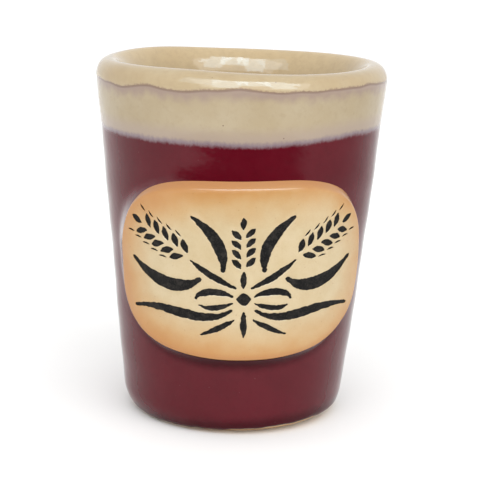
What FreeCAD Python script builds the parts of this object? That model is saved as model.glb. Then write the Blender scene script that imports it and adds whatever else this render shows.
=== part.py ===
import FreeCAD, Part
import math
import os

import Sketcher
from BOPTools import SplitAPI
from FreeCAD import Vector

# A small thrown stoneware cup with an applied oval plaque. The origin is the centre of the
# foot, +Z is up, and the plaque is on the -Y side. All lengths are in millimetres.

SIZES = {
    "height": 62.0,
    "foot_radius": 19.05,  # outer wall, extended down to the foot
    "flare": 0.1023,  # gain of radius per millimetre of height
    "wall": 5.0,  # glaze to glaze, measured level
    "floor_top": 5.9,
    "coat": 0.4,  # thickness of a glaze coat
    "lip_outer_round": 2.5,
    "lip_inner_round": 2.2,
    "cavity_round": 5.6,
    "foot_round": 3.4,
    "recess_radius": 12.8,
    "recess_depth": 0.9,
    "recess_slope": 0.8,
    "bare_foot": 1.3,  # height of the unglazed clay
    "band_low": 50.7,
    "band_high": 59.5,
    "plaque_half_width": 23.8,  # measured round the wall
    "plaque_half_height": 15.55,
    "plaque_squareness": 2.58,  # exponent of the superellipse
    "plaque_middle": 29.7,
    "plaque_shift": 1.07,  # round the wall, towards +X
    "plaque_turn": 1.5,  # degrees
    "plaque_thickness": 1.7,
    "plaque_round": 0.9,
    "slip": 0.3,
    "groove": 0.6,
    "stain_sink": 0.15,
}

doc = FreeCAD.newDocument("StonewareTot")
sheet = doc.addObject("Spreadsheet::Sheet", "Sizes")
for row, (alias, value) in enumerate(SIZES.items(), start=1):
    sheet.set(f"A{row}", alias)
    sheet.set(f"B{row}", str(value))
    sheet.setAlias(f"B{row}", alias)
doc.recompute()


def size(alias):
    return float(sheet.get(alias))


def cells(expression):
    """Write the sheet's name in front of each alias of a formula."""
    words = sorted(SIZES, key=len, reverse=True)
    for number, word in enumerate(words):
        expression = expression.replace(word, f"#{number}#")
    for number, word in enumerate(words):
        expression = expression.replace(f"#{number}#", f"Sizes.{word}")
    return expression


def wall_at(level, offset="0"):
    """Formula of the outer wall's radius at a level, moved outwards by an offset."""
    return f"foot_radius + flare * ({level}) + ({offset})"


def wall_radius(level):
    """The same radius as a number."""
    return size("foot_radius") + size("flare") * level


# Turned solids: a Body whose sketch is a closed polygon in the XZ plane


def origin_plane(body, role):
    return next(f for f in body.Origin.OriginFeatures if f.Role == role)


def bind(sketch, kind, corner, value, formula):
    """Hold one coordinate of a corner at a formula of the sheet's cells."""
    name = f"{kind}_{corner}"
    number = sketch.addConstraint(Sketcher.Constraint(kind, -1, 1, corner, 1, value))
    sketch.renameConstraint(number, name)
    sketch.setExpression(f"Constraints.{name}", cells(formula))


def polygon_sketch(body, name, corners):
    """Closed polygon of (radius, level) formulas; "axis" and "ground" lie on the sketch axes."""
    sketch = body.newObject("Sketcher::SketchObject", name)
    sketch.AttachmentSupport = [(origin_plane(body, "XZ_Plane"), "")]
    sketch.MapMode = "FlatFace"
    count = len(corners)
    rough = [Vector(1 + corner, 1 + corner**2, 0) for corner in range(count)]
    for corner in range(count):
        sketch.addGeometry(Part.LineSegment(rough[corner], rough[(corner + 1) % count]), False)
    for corner in range(count):
        following = (corner + 1) % count
        sketch.addConstraint(Sketcher.Constraint("Coincident", corner, 2, following, 1))
    for corner, (radius, level) in enumerate(corners):
        if radius == "axis":
            sketch.addConstraint(Sketcher.Constraint("PointOnObject", corner, 1, -2))
        else:
            bind(sketch, "DistanceX", corner, rough[corner].x, radius)
        if level == "ground":
            sketch.addConstraint(Sketcher.Constraint("PointOnObject", corner, 1, -1))
        else:
            bind(sketch, "DistanceY", corner, rough[corner].y, level)
    return sketch


def turned_body(name, corners):
    body = doc.addObject("PartDesign::Body", name)
    body.Label = name
    sketch = polygon_sketch(body, name + "_profile", corners)
    turn = body.newObject("PartDesign::Revolution", name + "_turn")
    turn.Profile = sketch
    turn.ReferenceAxis = (sketch, ["V_Axis"])
    turn.Angle = 360
    doc.recompute()
    return body


def round_edge(body, name, radius, level, formula):
    """Fillet the circular edge nearest to the given radius and level."""

    def miss(item):
        edge = item[1]
        if not isinstance(edge.Curve, Part.Circle):
            return math.inf
        return abs(edge.Curve.Radius - radius) + abs(edge.Curve.Center.z - level)

    base = body.Tip
    number = min(enumerate(base.Shape.Edges, start=1), key=miss)[0]
    fillet = body.newObject("PartDesign::Fillet", name)
    fillet.Base = (base, [f"Edge{number}"])
    fillet.Radius = 1
    fillet.setExpression("Radius", cells(formula))
    doc.recompute()


def cup_body(name, coat, floor_top):
    """The cup's outline, shrunk by a coat of glaze: outer wall, lip, inner wall and floor."""
    inset = f"{coat} * coat"
    top = f"height - {inset}"
    inner = f"{inset} - wall"
    corners = [
        ("axis", "ground"),
        (wall_at("0", "-" + inset), "ground"),
        (wall_at(top, "-" + inset), top),
        (wall_at(top, inner), top),
        (wall_at(floor_top, inner), floor_top),
        ("axis", floor_top),
    ]
    body = turned_body(name, corners)
    shrink = coat * size("coat")
    lip_level = size("height") - shrink
    floor_level = size("floor_top") - shrink
    hollow = size("wall") - shrink
    lip = wall_radius(lip_level)
    floor = wall_radius(floor_level)
    round_edge(body, name + "_lip_outside", lip - shrink, lip_level, f"lip_outer_round - {inset}")
    round_edge(body, name + "_lip_inside", lip - hollow, lip_level, f"lip_inner_round - {inset}")
    round_edge(body, name + "_corner", floor - hollow, floor_level, f"cavity_round + {inset}")
    round_edge(body, name + "_foot", wall_radius(0) - shrink, 0, f"foot_round - {inset}")
    return body


def wall_ring(name, inner, outer, low, high):
    """A ring that follows the outer wall between two offsets and two levels."""
    corners = [
        (wall_at(low, inner), low),
        (wall_at(low, outer), low),
        (wall_at(high, outer), high),
        (wall_at(high, inner), high),
    ]
    return turned_body(name, corners)


def combine(kind, name, base, tool):
    result = doc.addObject(kind, name)
    result.Label = name
    result.Base = base
    result.Tool = tool
    doc.recompute()
    return result


# The cup: bare clay, and the same outline with its glaze on


def make_clay_body():
    body = cup_body("clay_body", 1, "floor_top - coat")
    before = body.Shape.Volume
    corners = [
        ("axis", "ground"),
        ("recess_radius", "ground"),
        ("recess_radius - recess_slope", "recess_depth"),
        ("axis", "recess_depth"),
    ]
    sketch = polygon_sketch(body, "underside_profile", corners)
    groove = body.newObject("PartDesign::Groove", "underside_recess")
    groove.Profile = sketch
    groove.ReferenceAxis = (sketch, ["V_Axis"])
    groove.Angle = 360
    doc.recompute()
    if body.Shape.Volume >= before:
        raise RuntimeError("the underside recess cut nothing")
    return body


clay_body = make_clay_body()
glazed_cup = cup_body("glazed_cup", 0, "floor_top")
glaze_shell = combine("Part::Cut", "glaze_shell", glazed_cup, clay_body)

# The three glazes are stretches of that shell


def make_liner_zone():
    """Everything inside the middle of the wall, and everything above the run line."""
    middle = "-wall / 2"
    low = "floor_top / 2"
    clear = "height + coat"
    corners = [
        ("axis", low),
        (wall_at(low, middle), low),
        (wall_at("band_high", middle), "band_high"),
        (wall_at("band_high", "wall"), "band_high"),
        (wall_at("band_high", "wall"), clear),
        ("axis", clear),
    ]
    return turned_body("liner_zone", corners)


band_zone = wall_ring("band_zone", "-wall / 2", "wall", "band_low", "band_high")
wine_zone = wall_ring("wine_zone", "-wall / 2", "wall", "bare_foot", "band_low")
liner_glaze = combine("Part::Common", "liner_glaze", glaze_shell, make_liner_zone())
band_glaze = combine("Part::Common", "band_glaze", glaze_shell, band_zone)
wine_coat = combine("Part::Common", "wine_coat", glaze_shell, wine_zone)

# The oval plaque is laid out flat: across is measured round the wall and up along its slant


def on_wall(across, up, offset):
    """Point of the wall at a place of the flat layout, moved outwards by an offset."""
    turn = math.radians(size("plaque_turn"))
    along = size("plaque_shift") + across * math.cos(turn) - up * math.sin(turn)
    rise = across * math.sin(turn) + up * math.cos(turn)
    level = size("plaque_middle") + rise * math.cos(math.atan(size("flare")))
    radius = wall_radius(level)
    angle = along / radius
    outwards = Vector(math.sin(angle), -math.cos(angle), 0)
    return outwards * (radius + offset) + Vector(0, 0, level), outwards


def superellipse(angle):
    power = 2 / size("plaque_squareness")
    cosine, sine = math.cos(angle), math.sin(angle)
    across = math.copysign(abs(cosine) ** power, cosine) * size("plaque_half_width")
    up = math.copysign(abs(sine) ** power, sine) * size("plaque_half_height")
    return across, up


def outline_edge(offset, steps=36):
    places = [superellipse(2 * math.pi * step / steps) for step in range(steps)]
    curve = Part.BSplineCurve()
    curve.interpolate([on_wall(across, up, offset)[0] for across, up in places], PeriodicFlag=True)
    return curve.toShape()


def make_outline_block():
    """The part of a thick ring that lies behind the plaque's outline."""
    reach = size("wall")
    sides = Part.makeRuledSurface(outline_edge(-2 * reach), outline_edge(2 * reach))
    pieces = SplitAPI.slice(outline_ring.Shape, [sides], "Split", 1e-4).Solids
    block = doc.addObject("Part::Feature", "outline_block")
    block.Shape = min(pieces, key=lambda piece: piece.Volume)
    block.Placement = FreeCAD.Placement()
    return block


outline_ring = wall_ring("outline_ring", "-wall", "wall", "bare_foot", "band_low")
outline_block = make_outline_block()
slip_ring = wall_ring("slip_ring", "-coat", "slip - coat", "bare_foot", "band_low")
plaque_front = "slip + plaque_thickness - coat"
plaque_ring = wall_ring("plaque_ring", "slip - coat", plaque_front, "bare_foot", "band_low")

wine_glaze = combine("Part::Cut", "wine_glaze", wine_coat, outline_block)
luting_slip = combine("Part::Common", "luting_slip", slip_ring, outline_block)
plaque_blank = combine("Part::Common", "plaque_blank", plaque_ring, outline_block)


def front_edges(shape):
    """Edges of the plaque's outline on its front: the ones furthest out from the wall."""
    found = []
    front = size("slip") + size("plaque_thickness") - size("coat")
    for number, edge in enumerate(shape.Edges, start=1):
        point = edge.valueAt((edge.FirstParameter + edge.LastParameter) / 2)
        if abs(math.hypot(point.x, point.y) - wall_radius(point.z) - front) < size("coat") / 4:
            found.append(number)
    return found


rounded_plaque = doc.addObject("Part::Fillet", "rounded_plaque")
rounded_plaque.Base = plaque_blank
plaque_round = size("plaque_round")
rounded_plaque.Edges = [(n, plaque_round, plaque_round) for n in front_edges(plaque_blank.Shape)]
doc.recompute()

# The pattern: three ears of barley tied with a bow. Each stroke of the brush is a cubic curve,
# given by its start, two pulls, its end and its greatest width, in the flat layout.

RIGHT_STROKES = {
    "stem": [
        ((1.1, -2.6), (3.2, -1.5), (6.2, 0.2), (8.3, 2.1), 1.15),
        ((1.4, -8.0), (2.7, -9.0), (4.4, -10.0), (6.8, -10.9), 1.0),
    ],
    "leaf": [
        ((6.6, -0.9), (9.4, -3.6), (13.8, -2.8), (19.4, 1.4), 2.3),
        ((3.2, 0.2), (2.7, 3.6), (4.2, 6.8), (8.2, 9.6), 1.9),
    ],
    "bow": [
        ((1.6, -4.1), (3.4, -2.7), (7.2, -3.0), (7.4, -4.7), 1.25),
        ((7.0, -5.6), (5.8, -6.4), (3.4, -6.0), (1.6, -5.1), 0.95),
        ((1.7, -6.3), (6.2, -9.9), (11.4, -5.2), (19.2, -7.4), 1.7),
    ],
}
MIDDLE_STROKES = {
    "stem": [
        ((0, -2.6), (0, -1.6), (0, -0.7), (0, 0.4), 1.0),
        ((0, -6.6), (0, -8.0), (0, -9.6), (0, -11.3), 1.0),
    ],
    "bow": [((-1.15, -4.4), (-0.4, -4.4), (0.4, -4.4), (1.15, -4.4), 2.2)],
}
SIDE_EAR = {"root": (8.9, 2.9), "tip": (17.2, 7.4), "pairs": 5, "length": 2.45, "width": 1.12}
MIDDLE_EAR = {"root": (0, 0.9), "tip": (0, 7.5), "pairs": 4, "length": 2.1, "width": 1.0}
GRAIN_SPREAD = math.radians(42)
GRAIN_STEP_OUT = 0.42  # from the ear's middle line to a grain's root
GRAIN_STAGGER = 0.2  # of the pitch, between the two sides of an ear


def straight(start, step, width):
    """A straight stroke from a start, along a step."""
    places = [start + step * part for part in (0, 0.35, 0.7, 1)]
    return tuple((place.x, place.y) for place in places) + (width,)


def ear_strokes(root, tip, pairs, length, width):
    start = Vector(*root, 0)
    run = Vector(*tip, 0) - start
    ahead = Vector(run).normalize()
    side = Vector(-ahead.y, ahead.x, 0)
    strokes = [straight(start + run, ahead * length, width)]
    for hand, stagger in ((1, 0), (-1, GRAIN_STAGGER)):
        lean = ahead * math.cos(GRAIN_SPREAD) + side * hand * math.sin(GRAIN_SPREAD)
        for pair in range(pairs):
            foot = start + run * ((pair + stagger) / pairs) + side * hand * GRAIN_STEP_OUT
            strokes.append(straight(foot, lean * length, width))
    return strokes


def mirrored(stroke):
    return tuple((-across, up) for across, up in stroke[:4]) + (stroke[4],)


def with_mirror(strokes):
    return strokes + [mirrored(stroke) for stroke in strokes]


def stroke_solid(stroke, sections=7):
    """Loft of upright sections that swell and taper along the stroke, at right angles to the wall."""
    start, pull_out, pull_in, end, widest = stroke
    curve = Part.BezierCurve()
    curve.setPoles([Vector(*place, 0) for place in (start, pull_out, pull_in, end)])
    deep, proud = -size("coat"), size("wall") / 2
    wires = []
    for step in range(sections):
        part = step / (sections - 1)
        place = curve.value(part)
        ahead = curve.tangent(part)[0]
        half = widest / 2 * max(math.sin(math.pi * part), 0.25) ** 0.7
        middle, outwards = on_wall(place.x, place.y, 0)
        sideways = Vector(-outwards.y, outwards.x, 0) * -ahead.y + Vector(0, 0, ahead.x)
        corners = [
            middle + outwards * deep + sideways * half,
            middle + outwards * proud + sideways * half,
            middle + outwards * proud - sideways * half,
            middle + outwards * deep - sideways * half,
        ]
        wires.append(Part.makePolygon(corners + corners[:1]))
    return Part.makeLoft(wires, True, False)


def strokes_feature(name, strokes):
    feature = doc.addObject("Part::Feature", name)
    feature.Shape = Part.makeCompound([stroke_solid(stroke) for stroke in strokes])
    feature.Placement = FreeCAD.Placement()
    return feature


groove_floor = f"{plaque_front} - groove"
stain_top = f"{plaque_front} - stain_sink"
groove_ring = wall_ring("groove_ring", groove_floor, "wall", "bare_foot", "band_low")
stain_ring = wall_ring("stain_ring", groove_floor, stain_top, "bare_foot", "band_low")

grain_strokes = with_mirror(ear_strokes(**SIDE_EAR)) + ear_strokes(**MIDDLE_EAR)
PATTERN = {
    "stem_stain": with_mirror(RIGHT_STROKES["stem"]) + MIDDLE_STROKES["stem"],
    "leaf_stain": with_mirror(RIGHT_STROKES["leaf"]),
    "bow_stain": with_mirror(RIGHT_STROKES["bow"]) + MIDDLE_STROKES["bow"],
    "grain_stain": grain_strokes,
}

stains = []
cutters = []
for node, strokes in PATTERN.items():
    brushed = strokes_feature(node + "_strokes", strokes)
    cutters.append(combine("Part::Common", node + "_grooves", groove_ring, brushed))
    stains.append(combine("Part::Common", node, stain_ring, brushed))

plaque = rounded_plaque
for number, cutter in enumerate(cutters, start=1):
    name = "plaque" if number == len(cutters) else f"plaque_cut_{number}"
    plaque = combine("Part::Cut", name, plaque, cutter)

# Check everything, then write each piece

doc.recompute()
for item in doc.Objects:
    if "Invalid" in item.State or "Error" in item.State:
        raise RuntimeError(f"{item.Name} failed: {item.State}")

nodes = [clay_body, liner_glaze, band_glaze, wine_glaze, luting_slip, plaque] + stains
os.makedirs("parts", exist_ok=True)
for piece in nodes:
    shape = piece.Shape
    if shape.isNull() or not shape.isValid() or not shape.Solids:
        raise RuntimeError(f"{piece.Label} has no valid solid")
for piece in nodes:
    shape = piece.Shape
    box = shape.optimalBoundingBox()
    shape.exportStep(f"parts/{piece.Label}.step")
    print(
        f"{piece.Label}: {len(shape.Solids)} solids, {shape.Volume:.1f} mm3,"
        f" z {box.ZMin:.2f} to {box.ZMax:.2f}, y {box.YMin:.2f} to {box.YMax:.2f}"
    )
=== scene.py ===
import math

import bmesh
import bpy
import numpy as np
from mathutils import Matrix, Vector, noise
from mathutils.geometry import delaunay_2d_cdt


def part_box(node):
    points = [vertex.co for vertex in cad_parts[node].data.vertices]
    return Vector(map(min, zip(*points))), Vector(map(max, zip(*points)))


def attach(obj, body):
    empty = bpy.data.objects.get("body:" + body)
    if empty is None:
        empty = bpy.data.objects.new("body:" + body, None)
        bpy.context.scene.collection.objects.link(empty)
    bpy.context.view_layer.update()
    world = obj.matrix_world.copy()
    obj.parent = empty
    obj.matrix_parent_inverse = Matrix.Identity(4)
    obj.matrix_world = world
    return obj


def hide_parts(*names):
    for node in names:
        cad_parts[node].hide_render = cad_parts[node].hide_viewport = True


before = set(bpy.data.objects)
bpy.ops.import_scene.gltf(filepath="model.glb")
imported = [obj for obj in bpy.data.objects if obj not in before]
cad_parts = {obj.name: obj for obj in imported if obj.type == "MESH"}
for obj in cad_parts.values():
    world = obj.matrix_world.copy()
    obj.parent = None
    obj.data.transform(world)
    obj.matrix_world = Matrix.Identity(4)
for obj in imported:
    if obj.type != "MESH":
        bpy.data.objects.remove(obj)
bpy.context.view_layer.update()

# A stoneware tot cup. Lengths are in millimetres until a mesh is made. A place on the cup is an
# angle round it (0 at the front, which faces -Y, and positive towards +X), a radius and a level.

MM = 0.001


def frame_mm(node, corner, axis):
    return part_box(node)[corner][axis] / MM


LOW, HIGH = 0, 1
HEIGHT = frame_mm("liner_glaze", HIGH, 2)
BAND_LOW = frame_mm("band_glaze", LOW, 2)
BAND_HIGH = frame_mm("band_glaze", HIGH, 2)
BARE_FOOT = frame_mm("wine_glaze", LOW, 2)
COAT = HEIGHT - frame_mm("clay_body", HIGH, 2)
FLOOR_TOP = frame_mm("liner_glaze", LOW, 2) + COAT
WALL_GAIN = frame_mm("band_glaze", HIGH, 0) - frame_mm("wine_glaze", HIGH, 0)
FLARE = WALL_GAIN / (BAND_HIGH - BAND_LOW)
FOOT_RADIUS = frame_mm("wine_glaze", HIGH, 0) - FLARE * BAND_LOW
PLAQUE_MIDDLE = (frame_mm("plaque", LOW, 2) + frame_mm("plaque", HIGH, 2)) / 2

WALL = 5.0  # glaze to glaze
CREST_RADIUS = 22.6  # where the lip is highest
CREST_PULL_OUT, CREST_PULL_IN = 1.7, 1.9  # how broadly the lip curves away from it
LIP_BASE = 59.2  # level where the lip's outer curve starts
LIP_INNER_BASE = 56.5  # level where its inner curve starts
LIP_SWELL = 0.8  # how much thicker the wall is there
FOOT_CURVE = 4.4  # height of the rounded edge of the foot
FOOT_ROUND = 3.4  # how far in from the wall the flat of the foot starts
FLOOR_CURVE = 6.5  # height of the rounded corner between the inside wall and the floor
RECESS_RADIUS = 12.8
RECESS_DEPTH = 0.9

PLAQUE_HALF_WIDTH = 23.8  # measured round the wall
PLAQUE_HALF_HEIGHT = 15.55
PLAQUE_SQUARENESS = 2.58
PLAQUE_SHIFT = 1.07
PLAQUE_TURN = math.radians(1.5)
PLAQUE_FRONT = 1.3  # height of its face over the glazed wall
PLAQUE_DOME = 0.12
PLAQUE_BEVEL = 1.07  # rise of its bevelled edge for each millimetre inwards
BEVEL_STEEPER = 2.2  # how many times as much again it rises at the bottom
PLAQUE_CREASE = 0.10  # how soft the line between the bevel and the face is
SLIP = 0.3  # thickness of the coat of slip behind it

ROUND_STEPS = 384
MERGE_DISTANCE = 2e-7  # metres


# ---- shape of the cup


def wall_radius(level):
    return FOOT_RADIUS + FLARE * level


def cubic(start, pull_out, pull_in, end, count):
    """Points along a cubic curve."""
    t = np.linspace(0, 1, count)[:, None]
    points = [np.array(p, float) for p in (start, pull_out, pull_in, end)]
    weights = ((1 - t) ** 3, 3 * t * (1 - t) ** 2, 3 * t**2 * (1 - t), t**3)
    return sum(w * p for w, p in zip(weights, points))


class Profile:
    """A run of (radius, level) points that starts at the lip's crest, read by its length.

    Its hand, 1 or -1, says on which side of the run the open air is.
    """

    def __init__(self, stretches, hand):
        points = np.concatenate(stretches)
        keep = np.r_[True, np.hypot(*np.diff(points, axis=0).T) > 1e-6]
        self.points = points[keep]
        steps = np.diff(self.points, axis=0)
        self.length = np.r_[0, np.cumsum(np.hypot(*steps.T))]
        along = np.gradient(self.points, self.length, axis=0)
        along /= np.hypot(*along.T)[:, None]
        self.normal = np.stack([-along[:, 1], along[:, 0]], axis=1) * hand

    def at(self, length, offset):
        """Radius and level at a length from the crest, moved off the surface by an offset."""
        radius, level = (np.interp(length, self.length, self.points[:, i]) for i in (0, 1))
        out_r, out_z = (np.interp(length, self.length, self.normal[:, i]) for i in (0, 1))
        return radius + out_r * offset, level + out_z * offset

    def length_at_level(self, level):
        return np.interp(-np.asarray(level), -self.points[:, 1], self.length)


def lip_curve(pull, base, join):
    """From the crest, where it is level over a pull, to the base, where it is in line with join."""
    return cubic((CREST_RADIUS, HEIGHT), (CREST_RADIUS + pull, HEIGHT), join, base, 60)


def make_outer_profile():
    """Lip, wall, and the rounded edge of the foot."""
    base, foot = wall_radius(LIP_BASE), wall_radius(FOOT_CURVE)
    lip = lip_curve(CREST_PULL_OUT, (base, LIP_BASE), (base + 1.2 * FLARE, LIP_BASE + 1.6))
    wall = np.linspace((base, LIP_BASE), (foot, FOOT_CURVE), 300)
    lower_wall = (foot - 2.4 * FLARE, FOOT_CURVE - 2.4)
    curve = cubic((foot, FOOT_CURVE), lower_wall, (foot - 1.5, 0), (foot - FOOT_ROUND, 0), 50)
    return Profile([lip, wall, curve], 1)


def make_inner_profile():
    """Lip, wall, the rounded corner at the bottom, and the floor."""
    base, level = wall_radius(LIP_INNER_BASE) - WALL - LIP_SWELL, LIP_INNER_BASE
    lip = lip_curve(-CREST_PULL_IN, (base, level), (base + 2.0 * FLARE, level + 2.0))
    corner_level = FLOOR_TOP + FLOOR_CURVE
    corner = wall_radius(corner_level) - WALL
    wall = np.linspace((base, level), (corner, corner_level), 300)
    lower_wall = (corner - 3.5 * FLARE, corner_level - 3.5)
    floor_edge = (corner - FLOOR_CURVE, FLOOR_TOP)
    curve = cubic((corner, corner_level), lower_wall, (corner - 3.0, FLOOR_TOP), floor_edge, 60)
    floor = np.linspace(floor_edge, (0, FLOOR_TOP), 40)
    return Profile([lip, wall, curve, floor], -1)


OUTER = make_outer_profile()
INNER = make_inner_profile()


def wave(points, angle):
    """Smooth closed curve through (degrees, value) points, read at angles in radians."""
    degrees, values = (np.array(column, float) for column in zip(*points))
    turns = np.degrees(angle)
    spread = np.concatenate([degrees - 360, degrees, degrees + 360])
    height = np.tile(values, 3)
    slope = np.gradient(height, spread)
    index = np.clip(np.searchsorted(spread, turns, side="right") - 1, 0, len(spread) - 2)
    width = spread[index + 1] - spread[index]
    t = (turns - spread[index]) / width
    return (
        height[index] * (1 + 2 * t) * (1 - t) ** 2
        + slope[index] * width * t * (1 - t) ** 2
        + height[index + 1] * t**2 * (3 - 2 * t)
        + slope[index + 1] * width * t**2 * (t - 1)
    )


# How far the rim rises over a level circle, round the cup
RIM_RISE = [
    (-170, -0.1), (-135, 0.35), (-95, 0.1), (-70, 0.08), (-45, 0.3), (-22, 0.48), (0, 0.3),
    (22, 0.1), (45, 0.05), (90, 0.28), (135, 0.05), (165, -0.15),
]
RIM_RISE_START = 44.0  # level over which the wall follows the rim up and down


def place(angle, radius, level):
    """XYZ of a place, with the small unevenness of a cup thrown by hand."""
    rise = np.clip(level / HEIGHT, 0, 1)
    out_of_round = 0.10 * rise * np.cos(2 * angle + 0.8) + 0.06 * rise * np.cos(3 * angle - 0.7)
    spiral = 0.022 * np.sin(2 * np.pi * level / 7.3 + angle + 0.6 * np.sin(angle))
    soft = 0.05 * np.sin(2 * np.pi * level / 23.0 + 2 * angle)
    belly = 0.19 * np.sin(np.pi * rise) ** 0.8
    fade = np.clip(radius / 12.0, 0, 1) * np.clip(level / 6.0, 0, 1)
    radius = radius + (out_of_round + spiral + soft + belly) * fade
    upper = np.clip((level - RIM_RISE_START) / (HEIGHT - RIM_RISE_START), 0, 1)
    level = level + wave(RIM_RISE, angle) * upper**3
    lean = 0.14 * np.sin(np.pi * rise) - 0.10 * (1 - rise) ** 2
    return np.stack(
        [radius * np.sin(angle) + lean, -radius * np.cos(angle), level + 0 * radius], axis=-1
    )


# How far the edge of each glaze wanders from its level in the frame, round the cup
RUN_WANDER = [
    (-170, 0.1), (-150, -0.2), (-130, -0.5), (-112, -0.1), (-95, -0.45), (-80, -0.4), (-63, -0.5),
    (-51, -0.85), (-40, -0.15), (-30, -0.35), (-22, -0.6), (-15, -0.3), (0, 0.25), (12, -0.05),
    (30, 0.15), (43, 0.3), (55, 0.45), (75, 0.1), (95, 0.15), (118, -0.5), (140, -0.15),
    (160, -0.3),
]
BAND_WANDER = [
    (-165, 0.4), (-135, 0.1), (-100, -0.2), (-67, -0.1), (-40, 0.0), (-12, 0.05), (6, 0.05),
    (19, 0.35), (30, 0.7), (47, 1.2), (66, 1.1), (95, 0.6), (130, 0.9), (158, 0.3),
]
FOOT_WANDER = [
    (-150, -0.1), (-110, -0.1), (-70, -0.85), (-40, -0.95), (-15, -0.7), (10, -0.3), (35, 0.05),
    (60, 0.2), (95, -0.1), (140, 0.3),
]


def run_level(angle):
    ripple = 0.05 * np.sin(19 * angle + 1) + 0.04 * np.sin(31 * angle + 2.2)
    return BAND_HIGH + wave(RUN_WANDER, angle) + ripple


def band_level(angle):
    return BAND_LOW + wave(BAND_WANDER, angle) + 0.04 * np.sin(23 * angle + 0.5)


def foot_level(angle):
    ripple = 0.06 * np.sin(17 * angle + 0.4) + 0.04 * np.sin(37 * angle + 1.3)
    return BARE_FOOT + wave(FOOT_WANDER, angle) + ripple


# ---- meshes


def new_object(name, data):
    """An object in the scene."""
    item = bpy.data.objects.new(name, data)
    bpy.context.scene.collection.objects.link(item)
    return item


def finish_piece(name, mesh, node, material, sharp=38):
    """Makes a mesh the piece for a CAD node, smooth but for edges over a sharp angle in degrees."""
    work = bmesh.new()
    work.from_mesh(mesh)
    bmesh.ops.remove_doubles(work, verts=work.verts, dist=MERGE_DISTANCE)
    bmesh.ops.recalc_face_normals(work, faces=work.faces)
    work.to_mesh(mesh)
    work.free()
    mesh.polygons.foreach_set("use_smooth", [True] * len(mesh.polygons))
    mesh.set_sharp_from_angle(angle=math.radians(sharp))
    mesh.materials.append(material)
    piece = new_object(name, mesh)
    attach(piece, "root")
    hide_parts(node)
    return piece


def new_mesh(name, points, faces, **fields):
    """Mesh of points in millimetres; each field is one number per point, kept as an attribute."""
    mesh = bpy.data.meshes.new(name)
    mesh.from_pydata((np.asarray(points) * MM).tolist(), [], [list(face) for face in faces])
    for field, values in fields.items():
        layer = mesh.attributes.new(field, "FLOAT", "POINT")
        layer.data.foreach_set("value", np.asarray(values, dtype=np.float32))
    return mesh


def turned_mesh(name, rows, ring=False, left_out=(), **fields):
    """Mesh from rows of points round the cup. A ring closes on itself; others end in poles.

    The faces left out are named by their row and their step round it.
    """
    rows = np.asarray(rows)
    count, steps = rows.shape[:2]
    points = rows.reshape(-1, 3)
    values = {field: np.asarray(value).reshape(-1) for field, value in fields.items()}
    around = [(step, (step + 1) % steps) for step in range(steps)]
    faces = []
    for row in range(count if ring else count - 1):
        a, b = row * steps, ((row + 1) % count) * steps
        for step, following in around:
            if (row, step) not in left_out:
                faces.append((a + step, a + following, b + following, b + step))
    if not ring:
        first_pole, last = count * steps, (count - 1) * steps
        points = np.concatenate([points, [points[:steps].mean(0), points[-steps:].mean(0)]])
        for step, following in around:
            faces.append((first_pole, following, step))
            faces.append((first_pole + 1, last + step, last + following))
        values = {f: np.r_[v, v[:steps].mean(), v[-steps:].mean()] for f, v in values.items()}
    return new_mesh(name, points, faces, **values)


ANGLES = np.linspace(-math.pi, math.pi, ROUND_STEPS, endpoint=False)


def spaced(start, end, step):
    """Even numbers from start to end, about a step apart."""
    return np.linspace(start, end, max(2, int(round(abs(end - start) / step)) + 1))


def profile_row(profile, length, offset):
    """Points round the cup at a length along a profile: one number, or one for each angle."""
    radius, level = profile.at(length + 0 * ANGLES, offset)
    return place(ANGLES, radius, level)


def coat_back(profile, start, end, step):
    """Rows on the clay, under the glaze, between two lengths along a profile."""
    return [profile_row(profile, length, -COAT) for length in spaced(start, end, step)]


def underside_rows():
    """The flat ring that the cup stands on, and the recess in it with its turning marks."""
    rows = []
    for radius in spaced(OUTER.points[-1, 0] - 0.3, 0.35, 0.21):
        into = np.clip((RECESS_RADIUS + 0.45 - radius) / 1.3, 0, 1)
        depth = RECESS_DEPTH * into**2 * (3 - 2 * into)
        wobble = 0.25 * np.sin(ANGLES - 0.8) * into
        rings = 0.055 * np.sin(2 * np.pi * (radius + wobble) / 1.15) * into
        pad = 0.03 * np.sin(3 * ANGLES + radius) * into
        rows.append(place(ANGLES, radius + 0 * ANGLES, depth + rings + pad + 0 * ANGLES))
    return rows


def make_clay_body(material):
    """The thrown cup: hidden under its glaze but for the foot and the hollow underside."""
    foot_start = OUTER.length_at_level(4.0)
    rows = coat_back(INNER, INNER.length[-1] - 0.4, 4.0, 2.0)
    rows += coat_back(INNER, 3.4, 0.4, 0.5)
    rows += coat_back(OUTER, 0.0, 3.6, 0.5)
    rows += coat_back(OUTER, 4.6, foot_start, 2.5)
    for length in spaced(foot_start + 0.25, OUTER.length[-1], 0.16):
        radius, level = OUTER.at(length + 0 * ANGLES, -COAT)
        rows.append(place(ANGLES, radius, np.maximum(level, 0.0)))
    mesh = turned_mesh("clay_body_mesh", rows + underside_rows())
    return finish_piece("clay_cup", mesh, "clay_body", material)


INSIDE = 90.0  # what the field run_mm holds inside the cup, more than any distance from the run


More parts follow.
